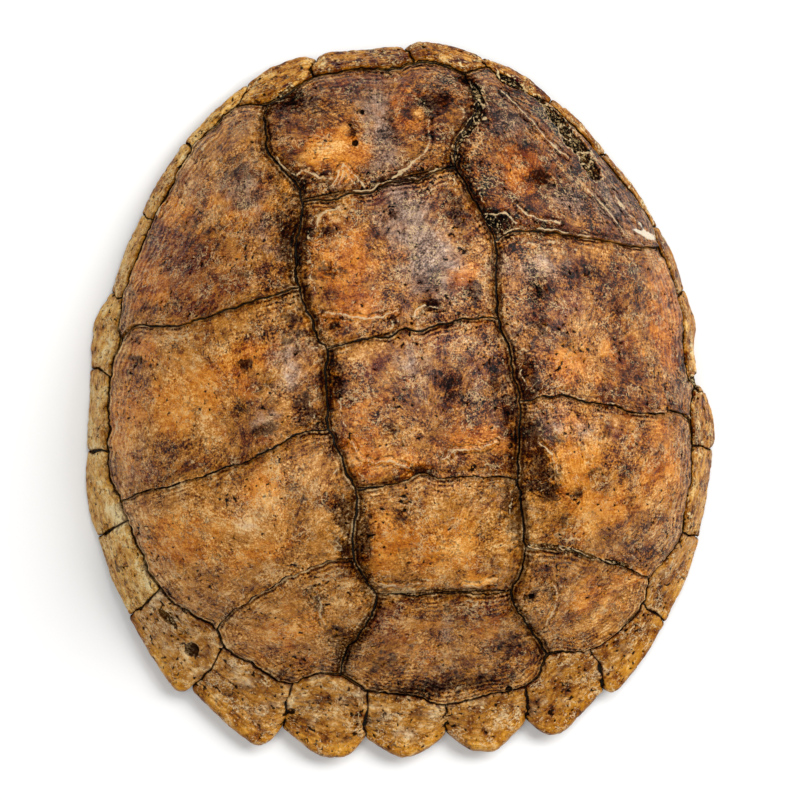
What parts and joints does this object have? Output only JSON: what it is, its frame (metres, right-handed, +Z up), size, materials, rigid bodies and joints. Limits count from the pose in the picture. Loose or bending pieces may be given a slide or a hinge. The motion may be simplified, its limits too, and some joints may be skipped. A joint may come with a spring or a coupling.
{
  "type": "turtle shell",
  "caption": "Domed upper shell of a snapping turtle: horn scutes with dark seams over a bony plate, saw-toothed at the tail end, resting open side down.",
  "frame": {"origin": "middle of the shell's footprint on the surface that it rests on", "axes": "+Z up out of the dome, +Y towards the animal's head end, +X towards the animal's right side"},
  "size_m": [0.266, 0.2986, 0.084],
  "materials": {
    "bone": "dry weathered bone, matte, faintly porous",
    "horn_back": "weathered horn, mottled brown, orange and black, low satin sheen",
    "horn_rim_straw": "bleached straw-coloured horn, flecked brown, matte",
    "horn_rim_ochre": "ochre horn with dark mottling and an orange edge, low satin sheen"
  },
  "bodies": {
    "root": {"bony_carapace": "bone", "cervical_scute": "horn_rim_straw", "vertebral_scute_1": "horn_back", "vertebral_scute_2": "horn_back", "vertebral_scute_3": "horn_back", "vertebral_scute_4": "horn_back", "vertebral_scute_5": "horn_back", "costal_scute_left_1": "horn_back", "costal_scute_left_2": "horn_back", "costal_scute_left_3": "horn_back", "costal_scute_left_4": "horn_back", "costal_scute_right_1": "horn_back", "costal_scute_right_2": "horn_back", "costal_scute_right_3": "horn_back", "costal_scute_right_4": "horn_back", "marginal_scute_left_1": "horn_rim_straw", "marginal_scute_left_2": "horn_rim_straw", "marginal_scute_left_3": "horn_rim_straw", "marginal_scute_left_4": "horn_rim_straw", "marginal_scute_left_5": "horn_rim_straw", "marginal_scute_left_6": "horn_rim_straw", "marginal_scute_left_7": "horn_rim_straw", "marginal_scute_left_8": "horn_rim_straw", "marginal_scute_left_9": "horn_rim_ochre", "marginal_scute_left_10": "horn_rim_ochre", "marginal_scute_left_11": "horn_rim_ochre", "marginal_scute_left_12": "horn_rim_ochre", "marginal_scute_right_1": "horn_rim_straw", "marginal_scute_right_2": "horn_rim_straw", "marginal_scute_right_3": "horn_rim_straw", "marginal_scute_right_4": "horn_rim_straw", "marginal_scute_right_5": "horn_rim_straw", "marginal_scute_right_6": "horn_rim_straw", "marginal_scute_right_7": "horn_rim_straw", "marginal_scute_right_8": "horn_rim_straw", "marginal_scute_right_9": "horn_rim_ochre", "marginal_scute_right_10": "horn_rim_ochre", "marginal_scute_right_11": "horn_rim_ochre", "marginal_scute_right_12": "horn_rim_ochre"}
  },
  "joints": []
}
